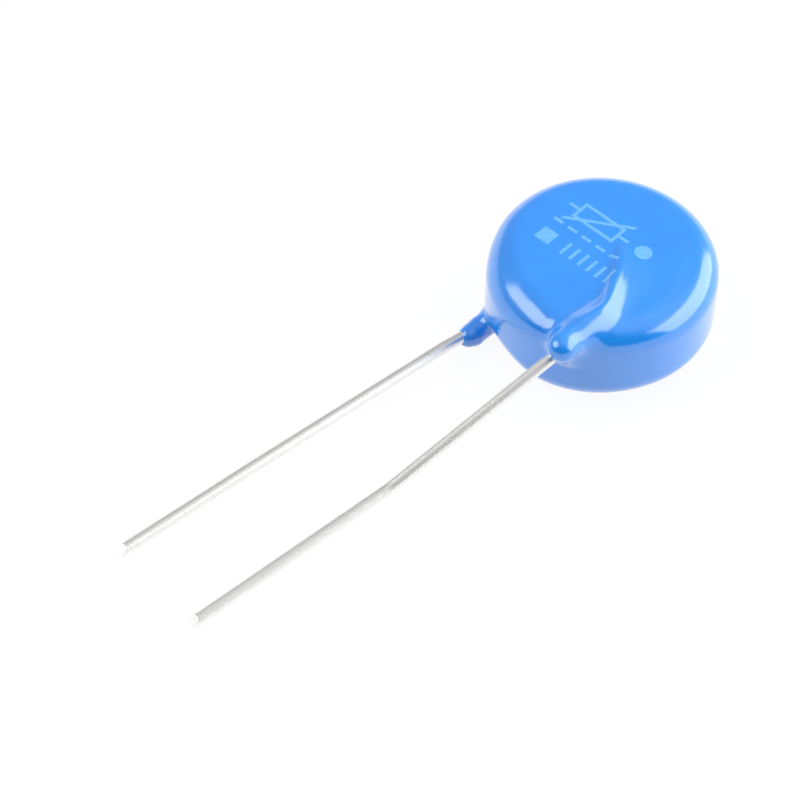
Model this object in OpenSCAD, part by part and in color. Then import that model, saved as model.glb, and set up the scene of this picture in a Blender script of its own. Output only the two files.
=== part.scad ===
// Radial disc metal oxide varistor, 14 mm class, lying on a table on its back face.
// +Z is up, the leads run towards -Y, and the origin is under the middle of the whole outline.
// The body is drawn about its own centre, with the disc's axis along Z, and is then seated:
// the lead over the back face raises a ridge in the coat, so the disc rests a little tilted.

/* [Ceramic disc] */
// Diameter of the sintered zinc oxide disc
ceramic_d = 13.5; // [11:0.1:18]
// Thickness of the sintered disc
ceramic_t = 5; // [3:0.1:7]
// Small chamfer round both edges of the disc
ceramic_chamfer = 0.15; // [0.05:0.05:0.4]

/* [Electrodes] */
// Bare ceramic left round each silver electrode
electrode_margin = 0.55; // [0.3:0.05:1.2]
// Thickness of each fired silver layer
electrode_t = 0.05; // [0.03:0.01:0.15]

/* [Leads] */
// Diameter of the tinned copper wire
lead_d = 0.8; // [0.5:0.05:1]
// Distance between the two leads
lead_pitch = 7.5; // [5:0.5:9]
// Distance by which the front lead stands further out on the disc than at its tip
front_splay = 0.62; // [0:0.02:0.8]
// Length of the front lead beyond the rim of the body
front_reach = 29.2; // [20:0.1:40]
// Length of the back lead beyond the rim of the body
back_reach = 29.6; // [20:0.1:40]
// Distance from the disc's middle at which both leads turn towards the middle
inner_bend_y = 3.5; // [2.5:0.1:4.5]
// Angle by which that inner end turns
inner_turn = 42; // [15:1:50]
// Length of the turned inner end
inner_run = 5.3; // [3:0.1:6]
// Bend radius of that turn, on the wire's centre line
inner_bend_r = 2; // [1:0.1:3]
// Distance from the rim of the body to the point where the front lead steps down
step_out = 0.7; // [0.5:0.05:1]
// Height by which the front lead steps down there
step_drop = 0.95; // [0.85:0.05:1.3]
// Steepness of that step
step_angle = 60; // [50:1:65]
// Bend radius of the tight bends
tight_bend_r = 0.8; // [0.6:0.05:0.9]
// Bend radius of the slight bends in the free wire
slight_bend_r = 4; // [2:0.5:8]
// Length of the front lead's last stretch, which comes down to the table
front_last_run = 15.7; // [8:0.1:20]
// Slope of that last stretch
front_last_slope = 6.9; // [4:0.1:9]
// Length of the back lead's last stretch, which comes down to the table
back_last_run = 11; // [6:0.5:16]
// Height that the back lead loses on its middle stretch
back_mid_drop = 0.35; // [0:0.05:0.6]
// Length of the bevels left by the cutter on each tip
cut_bevel = 0.45; // [0.2:0.05:0.6]
// Thickness of the blunt edge between the two bevels
cut_land = 0.14; // [0.06:0.02:0.3]

/* [Solder] */
// Film of solder between the electrode and the wire
solder_film = 0.05; // [0.03:0.01:0.1]
// Height of the solder fillet above the electrode
solder_h = 0.6; // [0.5:0.05:0.7]
// Half width of the fillet where it meets the electrode
solder_foot = 0.95; // [0.8:0.05:1.2]
// Half width of the fillet at its top
solder_crest = 0.55; // [0.5:0.01:0.6]
// Length of the solder along the turned inner end
solder_run = 4; // [2:0.1:4.5]

/* [Epoxy coat] */
// Thickness of the coat on the flat faces, over the silver
coat_face = 0.65; // [0.55:0.05:1]
// Thickness of the coat round the rim
coat_rim = 0.95; // [0.8:0.05:1.4]
// Radius of the coat's rounded edges
coat_edge_r = 1.7; // [1:0.1:2.2]
// Thickness of the coat over the crown of each wire, at the rim
coat_over_lead = 0.4; // [0.3:0.05:0.5]
// Radius of the ridge that each wire raises on its face
ridge_r = 1.4; // [1.2:0.1:2]
// Radius to which that ridge narrows at the rim
rim_ridge_r = 1; // [0.8:0.05:1.2]
// Amount by which the ridge's crown sinks from the rim to the wire's bend
ridge_fade = 0.06; // [0.02:0.01:0.12]
// Thickness of the coat over the wire at the ridge's inner end
coat_over_tail = 0.1; // [0.05:0.05:0.3]
// Length of ridge past the wire's inner end
ridge_tail = 0.3; // [0.1:0.1:1]
// Distance by which the coat sags beyond the round outline on the lead side
sag = 0.28; // [0.1:0.02:0.5]
// Amount by which the sagging part is narrower than the body
sag_inset = 0.7; // [0.4:0.1:1.5]
// Amount by which the sagging part is lower than each flat face
sag_drop = 0.15; // [0.1:0.05:0.4]
// Distance from the rim of the body to the middle of the coat's end on the front lead
front_end = 1; // [0.9:0.05:1.3]
// Radius of the coat round the front lead before it steps down
shoulder_r = 0.86; // [0.7:0.02:0.9]
// Radius of the coat's end below that step
front_bead_r = 0.62; // [0.6:0.01:0.7]
// Radius of the bead of coat round the back lead where it leaves the body
bead_r = 0.74; // [0.64:0.02:0.9]
// Radius of the narrow neck behind the back lead's bead
neck_r = 0.62; // [0.55:0.01:0.8]
// Distance from the rim of the body to the narrowest place of that neck
neck_y = 0.75; // [0.4:0.05:1.2]
// Distance from the rim of the body to the middle of the back lead's bead
back_bead_y = 1.85; // [1.5:0.05:2.5]
// Length of the taper from that bead to the bare wire
bead_taper = 0.95; // [0.7:0.05:1.5]
// Thickness of the coat at the end of that taper
taper_lip = 0.06; // [0.03:0.01:0.15]

/* [Hidden] */
$fn = 64;
// Hair's breadth by which a ball stands proud of the limbs that it joins.
knuckle = 0.02;
// The same for a bend in a wire, and how far the bend laps over the straight stretches.
bend_swell = 0.004;
bend_lap = 1;
// Amount by which the front lead's bead hangs below the wire.
bead_sink = 0.1;

lead_r = lead_d/2;
lead_x = lead_pitch/2;
front_x = lead_x + front_splay;
ceramic_r = ceramic_d/2;
electrode_r = ceramic_r - electrode_margin;
electrode_z = ceramic_t/2 + electrode_t;
wire_z = electrode_z + solder_film + lead_r;
coat_r = ceramic_r + coat_rim;
coat_h = electrode_z + coat_face;
ridge_top = wire_z + lead_r + coat_over_lead;
rim_ridge_z = ridge_top - rim_ridge_r;
knee_r = ridge_r;
knee_z = ridge_top - ridge_fade - knee_r;
tail_r = ridge_r - ridge_fade;
tail_z = wire_z + lead_r + coat_over_tail - tail_r;
edge_z = coat_h - coat_edge_r;
edge_x = coat_r - coat_edge_r;

// A place on the turned inner stretch of the lead that stands at x, by its distance from the turn.
function inner_place(x, run) = [x - run*sin(inner_turn), run*cos(inner_turn) - inner_bend_y];

// Distance from the middle to the coat's rim, measured along a lead that stands at x.
function rim_y(x) = sqrt(coat_r*coat_r - x*x);

// The same for the ball in which the ridge ends at the rim.
function ridge_end_y(x) = rim_y(x) - 0.5*coat_edge_r;

// Latitude on the bead at which its taper to the wire begins.
taper_start = 25;
step_y = rim_y(front_x) + step_out;
front_end_y = rim_y(front_x) + front_end;
back_neck_y = rim_y(lead_x) + neck_y;
back_bead = rim_y(lead_x) + back_bead_y;
back_coat_end = back_bead + bead_taper;

// Seating: the two tips, the far rim and the back ridge's inner end all touch the table.
tail_y = inner_place(lead_x, inner_run + ridge_tail).y;
seat_rise = tail_z - edge_z;
seat_base = edge_x - tail_y;
seat_lever = norm([seat_rise, seat_base]);
seat_tilt = acos((coat_edge_r - tail_r - knuckle)/seat_lever) - atan2(seat_base, seat_rise);
cos_tilt = cos(seat_tilt);
sin_tilt = sin(seat_tilt);
// Height of the disc's middle, from whichever part of the back reaches lowest.
function stand(y, z, r) = z*cos_tilt + y*sin_tilt + r;
seat_z = max(stand(edge_x, edge_z, coat_edge_r),
             stand(tail_y, tail_z, tail_r + knuckle),
             stand(-inner_bend_y, knee_z, knee_r + knuckle),
             stand(-ridge_end_y(lead_x), rim_ridge_z, rim_ridge_r + knuckle),
             stand(-back_bead, wire_z, bead_r));

// Whole outline along Y before it is centred.
far_y = edge_x*cos_tilt + edge_z*sin_tilt + coat_edge_r;
front_tip_y = coat_r + front_reach;
back_tip_y = coat_r + back_reach;
centre_y = (max(front_tip_y, back_tip_y) - far_y)/2;

// A point of the body, given about the disc's middle, where it lies once seated.
function seat(p) = [p.x, p.y*cos_tilt + p.z*sin_tilt + centre_y, p.z*cos_tilt - p.y*sin_tilt + seat_z];
// Routes of the two wires, from the inner end to the tip.
front_foot_z = wire_z - step_drop;
front_foot_y = step_y + step_drop/tan(step_angle);
front_tip_z = lead_r*cos(front_last_slope) - cut_bevel*sin(front_last_slope);
front_inner = inner_place(front_x, inner_run);
front_mid_x = lead_x + front_splay*front_last_run/front_reach;
front_route = [
    seat([front_inner.x, front_inner.y, wire_z]),
    seat([front_x, -inner_bend_y, wire_z]),
    seat([front_x, -step_y, wire_z]),
    seat([front_x, -front_foot_y, front_foot_z]),
    [front_mid_x, centre_y - front_tip_y + front_last_run, front_tip_z + front_last_run*tan(front_last_slope)],
    [lead_x, centre_y - front_tip_y, front_tip_z]
];
front_bends = [0, inner_bend_r, tight_bend_r, tight_bend_r, slight_bend_r, 0];

back_exit = seat([-lead_x, -back_coat_end - tight_bend_r, -wire_z]);
back_inner = inner_place(lead_x, inner_run);
back_route = [
    seat([-back_inner.x, back_inner.y, -wire_z]),
    seat([-lead_x, -inner_bend_y, -wire_z]),
    back_exit,
    [-lead_x, centre_y - back_tip_y + back_last_run, back_exit.z - back_mid_drop],
    [-lead_x, centre_y - back_tip_y, lead_r]
];
back_bends = [0, inner_bend_r, slight_bend_r, slight_bend_r, 0];

// Vectors.
function unit(v) = v/norm(v);
function heading(p, i) = unit(p[i + 1] - p[i]);
function turn(p, i) = i == 0 || i == len(p) - 1 ? 0 : acos(min(1, heading(p, i - 1)*heading(p, i)));
function setback(p, r, i) = r[i]*tan(turn(p, i)/2);

// Puts children drawn along +Z at a point, with +Z turned to a direction.
module aim(at, dir) {
    translate(at)
        rotate([0, acos(dir.z/norm(dir)), atan2(dir.y, dir.x)])
            children();
}

// One bend of a wire, from its centre, the outward direction at its start and its first heading.
module bend(centre, out, along, bend_r, wire_r, angle) {
    up = cross(out, along);
    multmatrix([[out.x, along.x, up.x, centre.x],
                [out.y, along.y, up.y, centre.y],
                [out.z, along.z, up.z, centre.z],
                [0, 0, 0, 1]])
        rotate([0, 0, -bend_lap])
            rotate_extrude(angle = angle + 2*bend_lap)
                translate([bend_r, 0])
                    circle(r = wire_r + bend_swell);
}

// A bent wire: straight stretches between the points, with a bend of radius r[i] at point i.
module bent_wire(p, r, wire_r) {
    for (i = [0 : len(p) - 2]) {
        dir = heading(p, i);
        start = p[i] + dir*setback(p, r, i);
        end = p[i + 1] - dir*setback(p, r, i + 1);
        aim(start, dir)
            cylinder(h = norm(end - start), r = wire_r);
    }
    for (i = [1 : len(p) - 2]) {
        before = heading(p, i - 1);
        after = heading(p, i);
        out = unit(before*(before*after) - after);
        start = p[i] - before*setback(p, r, i);
        bend(start - out*r[i], out, before, r[i], wire_r, turn(p, i));
    }
}

// What the cutter takes off a wire's tip: two wedges that leave a blunt horizontal edge.
module cutter(tip, dir) {
    rise = lead_r - cut_land/2;
    slope = atan2(rise, cut_bevel);
    bite = 2*lead_d;
    for (side = [-1, 1])
        translate(tip)
            rotate([atan2(dir.z, dir.y), 0, 0])
                translate([0, 0, side*cut_land/2])
                    rotate([side*-slope, 0, 0])
                        translate([-bite/2, -bite/2, side > 0 ? 0 : -bite])
                            cube(bite);
}

module lead(route, bends) {
    last = len(route) - 1;
    difference() {
        bent_wire(route, bends, lead_r);
        cutter(route[last], heading(route, last - 1));
    }
}

// Everything that belongs to the disc is drawn about its middle and seated here.
module seated() {
    translate([0, centre_y, seat_z])
        rotate([-seat_tilt, 0, 0])
            children();
}

// The back face carries the same things as the front face, turned half a turn about Y.
module on_back() {
    rotate([0, 180, 0])
        children();
}

module ceramic_shape() {
    rotate_extrude()
        polygon([
            [0, -ceramic_t/2],
            [ceramic_r - ceramic_chamfer, -ceramic_t/2],
            [ceramic_r, ceramic_chamfer - ceramic_t/2],
            [ceramic_r, ceramic_t/2 - ceramic_chamfer],
            [ceramic_r - ceramic_chamfer, ceramic_t/2],
            [0, ceramic_t/2]
        ]);
}

module electrode_shape() {
    translate([0, 0, ceramic_t/2])
        cylinder(h = electrode_t, r = electrode_r);
}

// Solder lies along the wire on the electrode, as a fillet that runs round its inner end.
module solder_spot(at) {
    translate([at.x, at.y, electrode_z])
        cylinder(h = solder_h, r1 = solder_foot, r2 = solder_crest, $fn = 32);
}

// The solder of the lead that stands at x.
module solder_blank(x) {
    hull() {
        solder_spot(inner_place(x, inner_run));
        solder_spot(inner_place(x, inner_run - solder_run));
    }
}

// A limb of coat that tapers from one ball to the next, and the ball at its far end.
module limb(a, ra, b, rb) {
    aim(a, b - a)
        cylinder(h = norm(b - a), r1 = ra, r2 = rb);
    ball(b, rb);
}

module ball(at, r) {
    translate(at)
        sphere(r = r + knuckle);
}

// The dipped body: flat faces and full round edges, as a turned outline.
module lozenge(r, h, edge_r) {
    rotate_extrude() {
        translate([0, -h])
            square([r - edge_r, 2*h]);
        translate([0, edge_r - h])
            square([r, 2*(h - edge_r)]);
        for (side = [-1, 1])
            translate([r - edge_r, side*(h - edge_r)])
                circle(r = edge_r);
    }
}

// Ridge over the wire that stands at x on the front face, from past its inner end to the rim.
module ridge(x) {
    tail = [inner_place(x, inner_run + ridge_tail).x, tail_y, tail_z];
    knee = [x, -inner_bend_y, knee_z];
    rim = [x, -ridge_end_y(x), rim_ridge_z];
    ball(tail, tail_r);
    limb(tail, tail_r, knee, knee_r);
    limb(knee, knee_r, rim, rim_ridge_r);
}

// Coat that follows the front lead out over the rim and down its step.
module front_neck() {
    rim = [front_x, -ridge_end_y(front_x), rim_ridge_z];
    shoulder = [front_x, -front_end_y, wire_z];
    bead = [front_x, -front_end_y, front_foot_z - bead_sink];
    limb(rim, rim_ridge_r, shoulder, shoulder_r);
    limb(shoulder, shoulder_r, bead, front_bead_r);
}

// Coat drawn out along the back lead: it narrows to a neck and ends in a bead with a taper.
module back_neck() {
    rim = [-lead_x, -ridge_end_y(lead_x), -rim_ridge_z];
    neck = [-lead_x, -back_neck_y, -wire_z];
    limb(rim, rim_ridge_r, neck, neck_r);
    translate([-lead_x, 0, -wire_z])
        rotate([90, 0, 0])
            rotate_extrude() {
                translate([0, back_neck_y])
                    square([neck_r, back_bead - back_neck_y]);
                intersection() {
                    translate([0, back_bead])
                        circle(r = bead_r);
                    translate([0, back_bead - bead_r])
                        square([bead_r, 2*bead_r]);
                }
                polygon([
                    [0, back_bead],
                    [bead_r*cos(taper_start), back_bead + bead_r*sin(taper_start)],
                    [lead_r + taper_lip, back_coat_end],
                    [0, back_coat_end]
                ]);
            }
}

module coat_shape() {
    lozenge(coat_r, coat_h, coat_edge_r);
    translate([0, -sag - sag_inset, 0])
        lozenge(coat_r - sag_inset, coat_h - sag_drop, coat_edge_r - sag_drop);
    ridge(front_x);
    on_back()
        ridge(lead_x);
    front_neck();
    back_neck();
}

module epoxy_coating() {
    color([0.25, 0.6, 0.98])
        difference() {
            seated()
                coat_shape();
            seated() {
                ceramic_shape();
                electrode_shape();
                solder_blank(front_x);
                on_back() {
                    electrode_shape();
                    solder_blank(lead_x);
                }
            }
            bent_wire(front_route, front_bends, lead_r);
            bent_wire(back_route, back_bends, lead_r);
        }
}

module ceramic_disc() {
    color([0.2, 0.22, 0.21])
        seated()
            ceramic_shape();
}

module front_electrode() {
    color([0.86, 0.86, 0.84])
        seated()
            electrode_shape();
}

module back_electrode() {
    color([0.86, 0.86, 0.84])
        seated()
            on_back()
                electrode_shape();
}

module front_lead() {
    color([0.8, 0.8, 0.79])
        lead(front_route, front_bends);
}

module back_lead() {
    color([0.8, 0.8, 0.79])
        lead(back_route, back_bends);
}

module front_solder() {
    color([0.7, 0.71, 0.72])
        difference() {
            seated()
                solder_blank(front_x);
            bent_wire(front_route, front_bends, lead_r);
        }
}

module back_solder() {
    color([0.7, 0.71, 0.72])
        difference() {
            seated()
                on_back()
                    solder_blank(lead_x);
            bent_wire(back_route, back_bends, lead_r);
        }
}

epoxy_coating();
ceramic_disc();
front_electrode();
back_electrode();
front_lead();
back_lead();
front_solder();
back_solder();
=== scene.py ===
# Dresses a packed disc varistor: a glossy dipped coat, tinned wires, a generic print and a white studio.
import math

import bmesh
import bpy
import numpy as np
from mathutils import Matrix, Vector


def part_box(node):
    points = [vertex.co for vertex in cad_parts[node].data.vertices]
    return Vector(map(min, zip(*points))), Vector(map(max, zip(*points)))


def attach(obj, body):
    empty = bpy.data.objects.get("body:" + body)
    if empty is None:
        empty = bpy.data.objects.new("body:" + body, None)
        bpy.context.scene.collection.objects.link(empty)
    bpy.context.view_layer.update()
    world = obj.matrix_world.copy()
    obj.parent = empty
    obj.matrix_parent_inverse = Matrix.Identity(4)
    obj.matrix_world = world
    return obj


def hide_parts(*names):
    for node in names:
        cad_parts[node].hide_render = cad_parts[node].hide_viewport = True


bl_info = {
    "name": "Disc Varistor",
    "version": (1, 0, 0),
    "blender": (4, 5, 0),
    "location": "View3D > Sidebar > Varistor",
    "description": "Dresses a disc varistor in dipped epoxy, tinned wire, print and studio light",
    "category": "Object",
}

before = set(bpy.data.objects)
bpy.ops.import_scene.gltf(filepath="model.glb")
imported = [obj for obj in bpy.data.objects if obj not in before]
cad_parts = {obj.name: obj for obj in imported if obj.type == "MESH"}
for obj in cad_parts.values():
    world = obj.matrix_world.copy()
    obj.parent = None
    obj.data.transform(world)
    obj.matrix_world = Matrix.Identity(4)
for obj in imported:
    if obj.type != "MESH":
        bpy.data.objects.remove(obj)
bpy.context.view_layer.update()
MM = 0.001
LEADS = ("front_lead", "back_lead")
PICTURE = 800           # width of the picture, in pixels
TABLE_RADIUS = 1.5      # in metres
SOFTBOX_DISTANCE = 0.5  # from the disc, in metres
SKINS = 2               # times that the coat gets a new even skin
SMOOTHINGS = 4          # rounds of smoothing of each skin


def disc_seat():
    """Middle of the ceramic disc and the angle by which it lies tilted about X."""
    low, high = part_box("ceramic_disc")
    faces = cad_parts["ceramic_disc"].data.polygons
    top = max(faces, key=lambda face: face.area*face.normal.z)
    return (low + high)/2, -math.atan2(top.normal.y, top.normal.z)


DISC_MIDDLE, DISC_TILT = disc_seat()


def length(name, description, default):
    """A length with its default in millimetres."""
    return bpy.props.FloatProperty(name=name, description=description, default=default*MM, unit="LENGTH")


def angle(name, description, default):
    """An angle with its default in degrees."""
    return bpy.props.FloatProperty(
        name=name, description=description, default=math.radians(default), subtype="ANGLE")


def colour(name, description, default):
    """A colour with its red, green and blue."""
    return bpy.props.FloatVectorProperty(
        name=name, description=description, default=default, subtype="COLOR", size=3, min=0, max=1)


def number(name, description, default):
    """A number without a unit."""
    return bpy.props.FloatProperty(name=name, description=description, default=default)


class VaristorCoat(bpy.types.PropertyGroup):
    """Sizes of the dipped coat, about the middle of the disc."""
    radius: length("Radius", "Radius of the round body", 7.694)
    half_height: length("Half height", "Half the thickness over the flat faces", 3.2)
    edge: length("Edge radius", "Radius of the rounded edges", 1.7)
    lead_edge: length("Lead side edge", "Radius of the rounded edges on the lead side", 1.6)
    open_edge: length("Edge between the leads", "Radius of the rounded edges between the leads", 2.3)
    sag: length("Sag", "Distance by which the coat sags towards the leads", 0.28)
    front_x: length("Front lead offset", "Distance of the front lead from the middle", 4.37)
    back_x: length("Back lead offset", "Distance of the back lead from the middle", 3.75)
    bend_y: length("Bend", "Distance from the middle at which the ridges turn inwards", 3.45)
    bend_soft: length("Bend softness", "Roundness of the ridges' turn", 0.85)
    turn: angle("Turn", "Angle by which the ridges turn inwards", 39)
    tail_y: length("Tail", "Distance from the middle to the ridges' inner ends, along the leads", 0.6)
    ridge_rim: length("Ridge at the rim", "Height of a ridge at the rim", 0.6)
    ridge: length("Ridge", "Height of a ridge at its turn", 0.57)
    ridge_tail: length("Ridge at its end", "Height of a ridge at its inner end", 0.27)
    crest: length("Crest", "Roundness of the ridges' crest", 0.28)
    blend: length("Blend", "Reach of the fillet at the ridges' foot", 0.4)
    shoulder_y: length("Shoulder", "Distance from the middle to the shoulder on the front lead", 7.42)
    shoulder_r: length("Shoulder radius", "Radius of that shoulder", 0.84)
    front_bead: length("Front bead", "Radius of the coat's end on the front lead", 0.5)
    neck_y: length("Neck", "Distance from the middle to the neck on the back lead", 7.3)
    neck_r: length("Neck radius", "Radius of that neck", 0.8)
    bead_y: length("Back bead", "Distance from the middle to the bead on the back lead", 7.95)
    bead_r: length("Back bead radius", "Radius of that bead", 0.8)
    web: length("Web", "Reach of the smooth web between the body and the back neck", 0.9)
    voxel: length("Mesh size", "Size of the mesh faces of the coat", 0.1)
    blue: colour("Blue", "Colour of the epoxy", (0.006, 0.300, 0.98))
    deep_blue: colour("Deep blue", "Colour of the epoxy where it is thick", (0.005, 0.280, 0.96))


class VaristorPrint(bpy.types.PropertyGroup):
    """The generic marks on the upper face."""
    across: length("Across", "Middle of the print across the disc", -0.8)
    along: length("Along", "Middle of the print along the disc", -0.6)
    stroke: length("Stroke", "Width of a printed stroke", 0.24)
    size: number("Size", "Size of the print against its plan in millimetres", 1.22)
    turn: angle("Turn", "Angle of the rows on the disc", 10)
    ink: colour("Ink", "Colour of the print", (0.13, 0.50, 1.0))


class VaristorMetal(bpy.types.PropertyGroup):
    """Colours of the wires, the silver, the solder and the ceramic."""
    tin: colour("Tin", "Colour of the tinned wires", (0.93, 0.93, 0.92))
    silver: colour("Silver", "Colour of the fired silver", (0.83, 0.82, 0.79))
    solder: colour("Solder", "Colour of the solder", (0.62, 0.63, 0.64))
    ceramic: colour("Ceramic", "Colour of the sintered ceramic", (0.035, 0.038, 0.036))


class VaristorStudio(bpy.types.PropertyGroup):
    """The camera and the light."""
    azimuth: angle("Azimuth", "Direction of the camera", 53.126)
    elevation: angle("Elevation", "Height angle of the camera", 51.568)
    roll: angle("Roll", "Turn of the picture", 0.944)
    distance: length("Distance", "Distance from the camera to its aim", 332.37)
    aim_x: length("Aim X", "Place on the table at the middle of the picture", -2.739)
    aim_y: length("Aim Y", "Place on the table at the middle of the picture", -0.277)
    scale: number("Scale", "Picture pixels to the millimetre at the aim", 15.002)
    box_light: number("Box light", "Radiance of the softboxes that gloss shows", 2.7)
    overhead_light: number("Overhead light", "Radiance of the softbox that gloss doesn't show", 0.43)
    sky_light: number("Sky light", "Radiance of the lighter side of the room", 0.4)
    low_light: number("Low light", "Radiance low down on that side", 0.85)
    dim_light: number("Dim light", "Radiance of the room on the camera's side", 0.08)
    ceiling_light: number("Ceiling light", "Radiance of the light patch of the ceiling", 0.7)
    ceiling_direction: angle("Ceiling direction", "Direction of that patch", 70)
    ceiling_height: angle("Ceiling height", "Height angle of that patch", 62)
    bright_direction: angle("Bright direction", "Direction of the lighter side of the room", 143)
    bright_height: angle("Bright height", "Height angle of the lighter side of the room", 37)
    table_white: number("Table white", "Whiteness of the table under soft light", 0.88)
    table_glow: number("Table glow", "Radiance of the table as it is seen, without its shadow", 0.93)
    table_faint: number("Table faint", "Whiteness that shows the shadow on the seen table", 0.08)


class Value:
    """A socket of a node tree, with operators that add the matching Math nodes."""

    def __init__(self, owner, socket):
        self.owner = owner
        self.socket = socket

    def math(self, operation, *inputs):
        return self.owner.node("ShaderNodeMath", {"operation": operation}, inputs)

    def __add__(self, other):
        return self.math("ADD", self, other)

    def __radd__(self, other):
        return self.math("ADD", other, self)

    def __sub__(self, other):
        return self.math("SUBTRACT", self, other)

    def __rsub__(self, other):
        return self.math("SUBTRACT", other, self)

    def __mul__(self, other):
        return self.math("MULTIPLY", self, other)

    def __rmul__(self, other):
        return self.math("MULTIPLY", other, self)

    def __truediv__(self, other):
        return self.math("DIVIDE", self, other)

    def __rtruediv__(self, other):
        return self.math("DIVIDE", other, self)

    def __abs__(self):
        return self.math("ABSOLUTE", self)

    def rounded(self):
        return self.math("ROUND", self)

    def root(self):
        return self.math("SQRT", self)

    def low(self, other):
        """The smaller of two values."""
        return self.math("MINIMUM", self, other)

    def high(self, other):
        """The larger of two values."""
        return self.math("MAXIMUM", self, other)

    def ramp(self, start, end):
        """0 at start and before it, and 1 at end and past it, with a smooth way between."""
        return self.owner.node("ShaderNodeMapRange", {"interpolation_type": "SMOOTHSTEP"},
                               {"Value": self, "From Min": start, "From Max": end})


class Nodes:
    """A node tree, and the nodes that are added to it."""

    def __init__(self, owner):
        owner.use_nodes = True
        self.tree = owner.node_tree

    def node(self, kind, settings, inputs, output=0):
        """Adds a node with its settings and the values or links of its sockets, and gives an output."""
        node = self.tree.nodes.new(kind)
        for key, value in settings.items():
            setattr(node, key, value)
        pairs = inputs.items() if isinstance(inputs, dict) else enumerate(inputs)
        for key, value in pairs:
            self.put(value, node.inputs[key])
        return Value(self, node.outputs[output])

    def put(self, value, socket):
        """Links a value to a socket, or sets the socket to a plain one."""
        if isinstance(value, Value):
            self.tree.links.new(value.socket, socket)
        else:
            socket.default_value = value

    def split(self, vector):
        """The three parts of a vector."""
        first = self.node("ShaderNodeSeparateXYZ", {}, {"Vector": vector})
        return [Value(self, socket) for socket in first.socket.node.outputs]

    def mix(self, factor, a, b):
        """Colour a where the factor is 0 and colour b where it is 1, by the node's colour sockets."""
        return self.node("ShaderNodeMix", {"data_type": "RGBA"}, {0: factor, 6: a, 7: b}, 2)


class Paint(Nodes):
    """A material with its principled shader, read from Object coordinates."""

    def __init__(self, name):
        self.material = bpy.data.materials.new(name)
        super().__init__(self.material)
        self.shader = self.tree.nodes["Principled BSDF"]
        self.places = self.node("ShaderNodeTexCoord", {}, {}, "Object")

    def local(self, at=(0, 0, 0), turn=(0, 0, 0), scale=(MM, MM, MM)):
        """Object coordinates about a place, turned and in millimetres."""
        return self.node("ShaderNodeMapping", {"vector_type": "TEXTURE"},
                         {"Vector": self.places, "Location": at, "Rotation": turn, "Scale": scale})

    def noise(self, vector, scale, detail):
        """A soft pattern of about 0 to 1."""
        return self.node("ShaderNodeTexNoise", {}, {"Vector": vector, "Scale": scale, "Detail": detail})

    def bump(self, height, distance, strength=1.0):
        """A normal that is raised by a height of 0 to 1 times a distance in millimetres."""
        return self.node("ShaderNodeBump", {},
                         {"Height": height, "Distance": distance*MM, "Strength": strength})

    def set(self, **sockets):
        """Values and links of the shader, by socket name with _ for a space."""
        for key, value in sockets.items():
            self.put(value, self.shader.inputs[key.replace("_", " ")])


def rgba(colour_value):
    """A colour as a socket takes it."""
    return (*colour_value, 1.0)


def grey(level):
    """A grey as a socket takes it."""
    return (level, level, level, 1.0)


def shade_of(colour_value, share):
    """A colour made darker or lighter."""
    return rgba(channel*share for channel in colour_value)


def towards(direction, height):
    """Unit vector by its angle from +X on the table and its height angle."""
    level = math.cos(height)
    return Vector((math.cos(direction)*level, math.sin(direction)*level, math.sin(height)))


def linked(name, data):
    """A new object in the scene."""
    obj = bpy.data.objects.new(name, data)
    bpy.context.scene.collection.objects.link(obj)
    return obj


def dress(obj, material):
    """Gives an object one material in all its slots."""
    if not obj.material_slots:
        obj.data.materials.append(material)
    for slot in obj.material_slots:
        slot.material = material


# Shape of the coat, in millimetres about the middle of the disc.

def soft_min(a, b, reach):
    """Smaller of two distances, with a web of that reach where they meet."""
    h = np.clip(reach - np.abs(a - b), 0, None)/reach
    return np.minimum(a, b) - h*h*reach/4


def soft_max(a, b, reach):
    """Larger of two heights, with a fillet of that reach where they meet."""
    return -soft_min(-a, -b, reach)


def eased(value, start, end):
    """0 at start and 1 at end, with a smooth way between."""
    t = np.clip((value - start)/(end - start), 0, 1)
    return t*t*(3 - 2*t)


def to_lozenge(p, radius, half_height, edge):
    """Distance to a round body with rounded edges."""
    out = np.hypot(p[:, 0], p[:, 1]) - radius + edge
    up = np.abs(p[:, 2]) - half_height + edge
    q = np.stack([out, up], axis=1)
    outside = np.linalg.norm(np.clip(q, 0, None), axis=1)
    return outside + np.clip(q.max(axis=1), None, 0) - edge


def to_limb(p, a, ra, b, rb):
    """Distance to a round limb that tapers from a to b."""
    a = np.array(a)
    along = np.array(b) - a
    t = np.clip((p - a) @ along/(along @ along), 0, 1)
    return np.linalg.norm(p - a - t[:, None]*along, axis=1) - ra - (rb - ra)*t


def to_limbs(p, limbs, reach):
    """Distance to several limbs, with webs of that reach between them."""
    nearest = to_limb(p, *limbs[0])
    for limb in limbs[1:]:
        nearest = soft_min(nearest, to_limb(p, *limb), reach)
    return nearest


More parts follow.
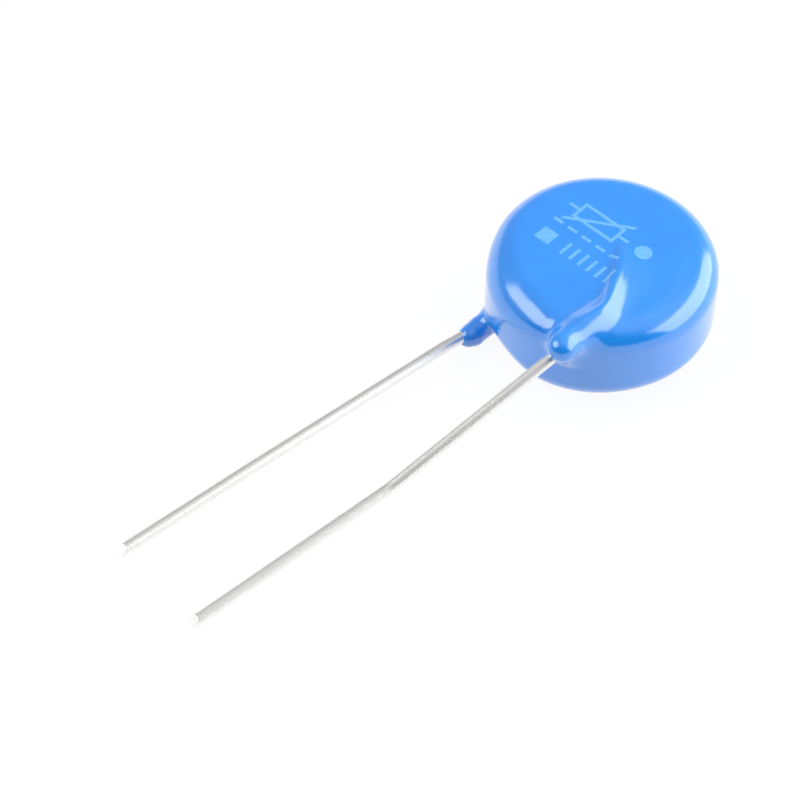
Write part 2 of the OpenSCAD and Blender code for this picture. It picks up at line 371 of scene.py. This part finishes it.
class CoatForm:
    """The coat as one smooth form."""
    # A ridge, from the rim to its inner end.
    rim_y = 6.5
    foot_inner = (1.0, 0.5)     # width of its foot towards the middle, at the rim and at the end
    foot_outer = (0.72, 1.35)   # the same on its other side
    foot_turn = 1.2             # width over which one side's foot turns into the other's
    fade = 1.2                  # height over which it fades into the wall
    back_fade_z = 2.0           # height below the middle at which the back ridge starts
    back_rise = 0.8             # height of the back ridge against the front one
    # The edge on the lead side, eased in by x, and by y as a share of the radius.
    open_from, open_to = 3, -1
    lead_from, lead_to = 0.3, 0.9
    # The sagging lower body against the round one.
    sag_inset = 0.7             # how much smaller its radius is
    sag_thinner = 0.15          # how much smaller its half height and its edge are
    sag_web = 0.5               # reach of the web between the two
    # The coat round the front lead.
    front_root_in = 0.05
    front_root_y = 4.2
    front_root_z = 2.72
    front_root_r = 0.75
    shoulder_out = 0.25
    shoulder_z = 2.75
    front_bead_y = 7.5
    front_bead_z = 2.0
    front_joint = 0.75          # reach of the web at its shoulder
    front_web = (1.5, 1.0)      # reach of its web on the inner and on the outer side
    # The coat round the back lead.
    lead_z = 3.12
    back_root_y = 6.0
    back_root_z = 2.7
    back_root_r = 0.85
    back_joint = 0.2            # reach of the webs at its neck and its bead
    bead_in = 0.1
    bead_drop = 0.06
    bead_end_drop = 0.04
    bead_length = 0.42
    bead_taper = 0.08

    def __init__(self, sizes):
        for key, kind in type(sizes).__annotations__.items():
            if kind.keywords.get("unit") == "LENGTH":
                setattr(self, key, getattr(sizes, key)/MM)
        self.slant = math.tan(sizes.turn)
        bead_x = self.bead_in - self.back_x
        front_root = (self.front_x - self.front_root_in, -self.front_root_y, self.front_root_z)
        shoulder = (self.front_x + self.shoulder_out, -self.shoulder_y, self.shoulder_z)
        front_bead = (self.front_x, -self.front_bead_y, self.front_bead_z)
        back_root = (-self.back_x, -self.back_root_y, -self.back_root_z)
        neck = (-self.back_x, -self.neck_y, -self.lead_z)
        bead = (bead_x, -self.bead_y, -self.lead_z - self.bead_drop)
        bead_end = (bead_x, -self.bead_y - self.bead_length, -self.lead_z - self.bead_end_drop)
        self.front_limbs = [
            (front_root, self.front_root_r, shoulder, self.shoulder_r),
            (shoulder, self.shoulder_r, front_bead, self.front_bead),
        ]
        self.back_limbs = [
            (back_root, self.back_root_r, neck, self.neck_r),
            (neck, self.neck_r, bead, self.bead_r),
            (bead, self.bead_r, bead_end, self.bead_r - self.bead_taper),
        ]

    def crest_line(self, y):
        """Where the front ridge's crest lies across the disc, and its slope there."""
        past = y + self.bend_y
        start = self.bend_y - self.shoulder_y
        bent = np.hypot(past, self.bend_soft)
        across = self.slant*(bent + past - math.hypot(start, self.bend_soft) - start)/2
        return self.front_x - across, -self.slant*(past/bent + 1)/2

    def ridge_rise(self, p):
        """Height of the ridge over the front lead above the flat face."""
        crest_x, slope = self.crest_line(p[:, 1])
        aside = (p[:, 0] - crest_x)/np.hypot(1, slope)
        past_end = np.clip((p[:, 1] - self.tail_y)*math.hypot(1, self.slant), 0, None)
        share = np.clip((p[:, 1] + self.rim_y)/(self.tail_y + self.rim_y), 0, 1)
        inner = np.interp(share, (0, 1), self.foot_inner)
        outer = np.interp(share, (0, 1), self.foot_outer)
        foot = inner + (outer - inner)*np.clip(aside/self.foot_turn + 0.5, 0, 1)
        height = np.interp(share, (0, 0.5, 1), (self.ridge_rim, self.ridge, self.ridge_tail))
        run = np.hypot(np.hypot(aside, past_end), self.crest) - self.crest
        rise = height*(1 - run/(np.hypot(foot, self.crest) - self.crest))
        return soft_max(rise, 0*rise, self.blend)

    def body(self, p):
        """Distance to the round body with its sag."""
        between = eased(p[:, 0], self.open_from, self.open_to)
        on_lead_side = eased(-p[:, 1]/self.radius, self.lead_from, self.lead_to)
        lead_edge = self.lead_edge + (self.open_edge - self.lead_edge)*between
        edge = self.edge + (lead_edge - self.edge)*on_lead_side
        round_body = to_lozenge(p, self.radius, self.half_height, edge)
        low = p + np.array([0, self.sag + self.sag_inset, 0])
        sagging = to_lozenge(low, self.radius - self.sag_inset, self.half_height - self.sag_thinner,
                             edge - self.sag_thinner)
        return soft_min(round_body, sagging, self.sag_web)

    def distance(self, p):
        """Distance to the whole form."""
        turned = p*np.array([-1, 1, -1]) + np.array([self.front_x - self.back_x, 0, 0])
        body = self.body(p) - self.ridge_rise(p)*np.clip(p[:, 2]/self.fade, 0, 1)
        back_share = self.back_rise*np.clip(-(p[:, 2] + self.back_fade_z)/self.fade, 0, 1)
        body = body - self.ridge_rise(turned)*back_share
        front = to_limbs(p, self.front_limbs, self.front_joint)
        back = to_limbs(p, self.back_limbs, self.back_joint)
        front_web = np.interp(p[:, 0] - self.front_x, (-1, 1), self.front_web)
        return soft_min(soft_min(body, front, front_web), back, self.web)

    def settle(self, points, rounds):
        """Moves points onto the surface of the form, along its slope."""
        step = 0.01
        least = 0.05
        for _ in range(rounds):
            d = self.distance(points)
            slope = np.stack([self.distance(points + step*axis) - self.distance(points - step*axis)
                              for axis in np.eye(3)], axis=1)/(2*step)
            steep = np.clip((slope*slope).sum(axis=1), least, None)
            points = points - slope*(d/steep)[:, None]
        return points


def spun_lozenge(bm, radius, half_height, edge):
    """A round body with rounded edges, turned from its outline."""
    corners = [(0, -half_height), (radius, -half_height), (radius, half_height), (0, half_height)]
    outline = [bm.verts.new((x, 0, z)) for x, z in corners]
    for a, b in zip(outline, outline[1:]):
        bm.edges.new((a, b))
    bmesh.ops.bevel(bm, geom=outline[1:3], offset=edge, offset_type="OFFSET", affect="VERTICES",
                    segments=10, profile=0.5, material=-1)
    bmesh.ops.spin(bm, geom=bm.verts[:] + bm.edges[:], cent=(0, 0, 0), axis=(0, 0, 1),
                   angle=math.tau, steps=96, use_merge=True)
    bmesh.ops.remove_doubles(bm, verts=bm.verts, dist=0.0005)
    bmesh.ops.recalc_face_normals(bm, faces=bm.faces)


def rod(bm, a, ra, b, rb):
    """A closed tapered rod from a to b with round ends."""
    a, b = Vector(a), Vector(b)
    turn = (b - a).to_track_quat("Z", "Y").to_matrix().to_4x4()
    bmesh.ops.create_cone(bm, cap_ends=True, segments=48, radius1=ra, radius2=rb, depth=(b - a).length,
                          matrix=Matrix.Translation((a + b)/2) @ turn)
    for place, radius in ((a, ra), (b, rb)):
        bmesh.ops.create_icosphere(bm, subdivisions=3, radius=radius, matrix=Matrix.Translation(place))


def remeshed(obj, voxel):
    """Gives an object one even skin."""
    skin = obj.modifiers.new("skin", "REMESH")
    skin.mode = "VOXEL"
    skin.voxel_size = voxel
    bpy.context.view_layer.update()
    mesh = bpy.data.meshes.new_from_object(obj.evaluated_get(bpy.context.evaluated_depsgraph_get()))
    obj.modifiers.clear()
    obj.data = mesh


def settle_verts(bm, form, rounds):
    """Moves a mesh's points onto the surface of the form."""
    points = form.settle(np.array([v.co[:] for v in bm.verts]), rounds)
    for vert, point in zip(bm.verts, points):
        vert.co = point


def coat_mesh(form):
    """The coat's mesh: turned body and rods, made one skin and settled on the smooth form."""
    bm = bmesh.new()
    spun_lozenge(bm, form.radius, form.half_height, form.edge)
    for limb in form.front_limbs + form.back_limbs:
        rod(bm, *limb)
    mesh = bpy.data.meshes.new("epoxy_coat")
    bm.to_mesh(mesh)
    bm.free()
    obj = linked("epoxy_coat", mesh)
    for _ in range(SKINS):
        remeshed(obj, form.voxel)
        bm = bmesh.new()
        bm.from_mesh(obj.data)
        for _ in range(SMOOTHINGS):
            settle_verts(bm, form, rounds=3)
            bmesh.ops.smooth_vert(bm, verts=bm.verts, factor=0.5, use_axis_x=True, use_axis_y=True,
                                  use_axis_z=True)
        settle_verts(bm, form, rounds=6)
        bm.to_mesh(obj.data)
        bm.free()
    return obj


def epoxy(coat, marks):
    """Glossy blue epoxy with a clear skin, the print and a few specks of dust."""
    paint = Paint("epoxy")
    plan = paint.local(DISC_MIDDLE, (DISC_TILT, 0, 0))
    cloud = paint.noise(plan, scale=0.35, detail=2.0)
    peel = paint.noise(plan, scale=0.8, detail=1.0)
    grain = paint.noise(plan, scale=9.0, detail=2.0)
    wear = paint.noise(plan, scale=5.0, detail=3.0).ramp(0.28, 0.5)*0.35 + 0.65
    dust = paint.node("ShaderNodeTexVoronoi", {}, {"Vector": plan, "Scale": 0.8}).ramp(0.052, 0.03)
    base = paint.mix(cloud.ramp(0.35, 0.7), rgba(coat.blue), rgba(coat.deep_blue))
    ink = generic_print(paint, marks)*wear
    paint.set(
        Base_Color=paint.mix(ink.high(dust), base, rgba(marks.ink)),
        Roughness=0.16 + grain*0.08 + ink*0.2,
        IOR=1.55,
        Coat_Weight=1.0,
        Coat_Roughness=0.15,
        Coat_IOR=1.8,
        Normal=paint.bump(peel, distance=0.04, strength=0.6),
    )
    return paint.material


def generic_print(paint, marks):
    """Mask of the printed marks: a varistor's circuit symbol, a dot, a square and rows of short bars.

    The plan is in millimetres about the middle of the print, u across and v along the disc."""
    middle = Matrix.Rotation(DISC_TILT, 4, "X") @ Vector((marks.across, marks.along, 0))
    turned = (Matrix.Rotation(DISC_TILT, 3, "X") @ Matrix.Rotation(marks.turn, 3, "Z")).to_euler()
    unit = marks.size*MM
    u, v, height = paint.split(paint.local(DISC_MIDDLE + middle, turned[:], (unit, unit, MM)))
    half = marks.stroke/unit/2
    blur = 0.03

    def box(at_u, at_v, half_u, half_v):
        """Distance to a filled box, about."""
        return (abs(u - at_u) - half_u).high(abs(v - at_v) - half_v)

    def outline(at_u, at_v, half_u, half_v):
        """Distance to the outline of a box."""
        return abs(box(at_u, at_v, half_u, half_v)) - half

    def dot(at_u, at_v, radius):
        """Distance to a filled disc."""
        return ((u - at_u)*(u - at_u) + (v - at_v)*(v - at_v)).root() - radius

    def slash(at_u, at_v, rise, half_u):
        """Distance to a slanting stroke, about."""
        above = v - at_v - (u - at_u)*rise
        return (abs(above)/math.hypot(1, rise) - half).high(abs(u - at_u) - half_u)

    def row(at_u, at_v, count, pitch, half_u, half_v):
        """Distance to a row of like bars."""
        first = at_u - pitch*(count - 1)/2
        nearest = ((u - first)/pitch).rounded().high(0.0).low(count - 1.0)*pitch + first
        return (abs(u - nearest) - half_u).high(abs(v - at_v) - half_v)

    symbol = [outline(-0.9, 1.7, 1.35, 0.55), slash(-0.9, 1.7, 0.62, 1.75)]
    symbol += [box(-2.6, 1.7, 0.4, half), box(0.85, 1.7, 0.4, half)]
    rows = [row(-0.6, 0.3, 5, 1.0, 0.32, half), row(0.6, -1.0, 6, 0.62, half, 0.48)]
    spots = [dot(2.3, 1.7, 0.5), box(-2.35, -1.0, 0.48, 0.48)]
    nearest, *others = symbol + rows + spots
    for part in others:
        nearest = nearest.low(part)
    ragged = paint.noise(paint.local(DISC_MIDDLE), scale=14.0, detail=2.0)*0.10 - 0.05
    upper_face = height.ramp(2.0, 2.4)
    return (nearest + ragged).ramp(blur, -blur)*upper_face


def tinned_wire(metal):
    """Satin tin with fine lines along the wire and faint blotches."""
    paint = Paint("tinned_wire")
    drawn = paint.noise(paint.local(scale=(MM, 12*MM, MM)), scale=9.0, detail=3.0)
    blotch = paint.noise(paint.local(), scale=2.5, detail=3.0)
    paint.set(
        Base_Color=paint.mix(blotch.ramp(0.4, 0.75), rgba(metal.tin), shade_of(metal.tin, 0.93)),
        Metallic=1.0,
        Roughness=0.34 + blotch*0.1 + drawn*0.08,
        Normal=paint.bump(drawn, distance=0.02, strength=0.5),
    )
    return paint.material


def sintered_ceramic(metal):
    """Dull dark ceramic with a pale grain."""
    paint = Paint("sintered_ceramic")
    grain = paint.noise(paint.local(), scale=12.0, detail=4.0)
    paint.set(
        Base_Color=paint.mix(grain.ramp(0.4, 0.7), rgba(metal.ceramic), shade_of(metal.ceramic, 2.0)),
        Roughness=0.55 + grain*0.3,
        Normal=paint.bump(grain, distance=0.03),
    )
    return paint.material


def bare_metal(name, tint, scale, detail, roughness, depth):
    """Plain metal with a fine unevenness, whose depth is in millimetres."""
    paint = Paint(name)
    uneven = paint.noise(paint.local(), scale, detail)
    paint.set(Base_Color=rgba(tint), Metallic=1.0, Roughness=roughness + uneven*0.2,
              Normal=paint.bump(uneven, depth))
    return paint.material


class VARISTOR_OT_coat(bpy.types.Operator):
    """Make the dipped coat with its ridges, necks and beads, and its print"""
    bl_idname = "varistor.coat"
    bl_label = "Dipped coat"

    def execute(self, context):
        obj = coat_mesh(CoatForm(context.scene.varistor_coat))
        seat = Matrix.Translation(DISC_MIDDLE) @ Matrix.Rotation(DISC_TILT, 4, "X") @ Matrix.Scale(MM, 4)
        obj.data.transform(seat)
        obj.data.shade_smooth()
        dress(obj, epoxy(context.scene.varistor_coat, context.scene.varistor_print))
        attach(obj, "root")
        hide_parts("epoxy_coating")
        return {"FINISHED"}


class VARISTOR_OT_leads(bpy.types.Operator):
    """Give both leads their tinned finish"""
    bl_idname = "varistor.leads"
    bl_label = "Leads"

    def execute(self, context):
        tin = tinned_wire(context.scene.varistor_metal)
        for name in LEADS:
            dress(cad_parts[name], tin)
        return {"FINISHED"}


class VARISTOR_OT_inside(bpy.types.Operator):
    """Give the ceramic, the silver and the solder their finishes"""
    bl_idname = "varistor.inside"
    bl_label = "Inside"

    def execute(self, context):
        metal = context.scene.varistor_metal
        dress(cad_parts["ceramic_disc"], sintered_ceramic(metal))
        silver = bare_metal("fired_silver", metal.silver, scale=20.0, detail=2.0, roughness=0.35,
                            depth=0.01)
        solder = bare_metal("frozen_solder", metal.solder, scale=4.0, detail=3.0, roughness=0.22,
                            depth=0.04)
        for side in ("front", "back"):
            dress(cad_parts[side + "_electrode"], silver)
            dress(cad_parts[side + "_solder"], solder)
        return {"FINISHED"}


class VARISTOR_OT_studio(bpy.types.Operator):
    """Set up the white table, the softboxes, the room and the camera"""
    bl_idname = "varistor.studio"
    bl_label = "Studio"

    def execute(self, context):
        studio = context.scene.varistor_studio
        make_table(studio)
        make_room(studio)
        softbox("left_softbox", direction=-125, height=43, width=0.38, depth=0.32,
                radiance=studio.box_light)
        softbox("right_softbox", direction=59, height=25, width=0.8, depth=0.42,
                radiance=studio.box_light)
        overhead = softbox("overhead", direction=143, height=65, width=0.7, depth=0.7,
                           radiance=studio.overhead_light)
        overhead.visible_glossy = False
        make_camera(studio)
        context.scene.view_settings.view_transform = "Standard"
        return {"FINISHED"}


def make_table(studio):
    """A white table top: plain to soft light, and nearly white with a faint shadow to the eye."""
    bm = bmesh.new()
    bmesh.ops.create_circle(bm, cap_ends=True, segments=64, radius=TABLE_RADIUS)
    mesh = bpy.data.meshes.new("floor")
    bm.to_mesh(mesh)
    bm.free()
    table = linked("floor", mesh)
    paint = Paint("white_table")
    paint.set(Base_Color=grey(studio.table_white), Roughness=0.9)
    kinds = [paint.node("ShaderNodeLightPath", {}, {}, f"Is {kind} Ray")
             for kind in ("Camera", "Glossy", "Transmission")]
    seen = kinds[0].high(kinds[1]).high(kinds[2])
    glow = paint.node("ShaderNodeEmission", {}, {"Color": grey(1.0), "Strength": studio.table_glow})
    faint = paint.node("ShaderNodeBsdfDiffuse", {}, {"Color": grey(studio.table_faint)})
    shown = paint.node("ShaderNodeAddShader", {}, [glow, faint])
    lit = Value(paint, paint.shader.outputs[0])
    mixed = paint.node("ShaderNodeMixShader", {}, {0: seen, 1: lit, 2: shown})
    paint.put(mixed, paint.tree.nodes["Material Output"].inputs["Surface"])
    dress(table, paint.material)


def make_room(studio):
    """A room that is dim on the camera's side, with a light far side, ceiling patch and horizon."""
    world = bpy.data.worlds.new("room")
    bpy.context.scene.world = world
    room = Nodes(world)
    direction = room.node("ShaderNodeTexCoord", {}, {}, "Generated")

    def facing(azimuth, elevation):
        """Cosine of the angle from a direction."""
        return room.node("ShaderNodeVectorMath", {"operation": "DOT_PRODUCT"},
                         [direction, towards(azimuth, elevation)], "Value")

    far = facing(studio.bright_direction, studio.bright_height).ramp(-0.3, 0.35)
    ceiling = facing(studio.ceiling_direction, studio.ceiling_height).ramp(0.76, 0.94)
    height = room.split(direction)[2]
    far_side = room.mix(height.ramp(0.2, 0.0), grey(studio.sky_light), grey(studio.low_light))
    above = room.mix(far, grey(studio.dim_light), far_side)
    above = room.mix(ceiling, above, grey(studio.ceiling_light))
    shown = room.mix(height.ramp(0.1, 0.0), above, grey(1.0))
    room.put(shown, room.tree.nodes["Background"].inputs["Color"])


def softbox(name, direction, height, width, depth, radiance):
    """A softbox that faces the disc, by its direction from +X and its height angle, in degrees."""
    lamp = bpy.data.lights.new(name, "AREA")
    lamp.shape = "RECTANGLE"
    lamp.size = width
    lamp.size_y = depth
    lamp.energy = radiance*math.pi*width*depth
    box = linked(name, lamp)
    out = towards(math.radians(direction), math.radians(height))
    box.location = DISC_MIDDLE + out*SOFTBOX_DISTANCE
    box.rotation_euler = out.to_track_quat("Z", "Y").to_euler()
    return box


def make_camera(studio):
    """The camera at the photograph's angle, which looks at a place on the table."""
    az, el, roll = studio.azimuth, studio.elevation, studio.roll
    back = Vector((math.sin(az)*math.cos(el), -math.cos(az)*math.cos(el), math.sin(el)))
    right = Vector((math.cos(az), math.sin(az), 0))
    up = back.cross(right)
    across = math.cos(roll)*right - math.sin(roll)*up
    upwards = math.sin(roll)*right + math.cos(roll)*up
    turned = Matrix((across, upwards, back)).transposed().to_4x4()
    aim = Vector((studio.aim_x, studio.aim_y, 0))
    lens = bpy.data.cameras.new("camera")
    lens.lens = lens.sensor_width*studio.scale*studio.distance/MM/PICTURE
    camera = linked("camera", lens)
    camera.matrix_world = Matrix.Translation(aim + back*studio.distance) @ turned
    bpy.context.scene.camera = camera


class VARISTOR_PT_panel(bpy.types.Panel):
    """The varistor's pieces, in the order in which they are made, and their sizes and colours"""
    bl_label = "Varistor"
    bl_space_type = "VIEW_3D"
    bl_region_type = "UI"
    bl_category = "Varistor"

    def draw(self, context):
        for operator in OPERATORS:
            self.layout.operator(operator.bl_idname)
        for name, kind in GROUPS.items():
            box = self.layout.box()
            for key in kind.__annotations__:
                box.prop(getattr(context.scene, name), key)


OPERATORS = (VARISTOR_OT_coat, VARISTOR_OT_leads, VARISTOR_OT_inside, VARISTOR_OT_studio)
GROUPS = {
    "varistor_coat": VaristorCoat,
    "varistor_print": VaristorPrint,
    "varistor_metal": VaristorMetal,
    "varistor_studio": VaristorStudio,
}


def register():
    for kind in (*GROUPS.values(), *OPERATORS, VARISTOR_PT_panel):
        bpy.utils.register_class(kind)
    for name, kind in GROUPS.items():
        setattr(bpy.types.Scene, name, bpy.props.PointerProperty(type=kind))


def unregister():
    for name in GROUPS:
        delattr(bpy.types.Scene, name)
    for kind in reversed((*GROUPS.values(), *OPERATORS, VARISTOR_PT_panel)):
        bpy.utils.unregister_class(kind)


def main():
    register()
    bpy.ops.varistor.coat()
    bpy.ops.varistor.leads()
    bpy.ops.varistor.inside()
    bpy.ops.varistor.studio()


if __name__ == "__main__":
    main()
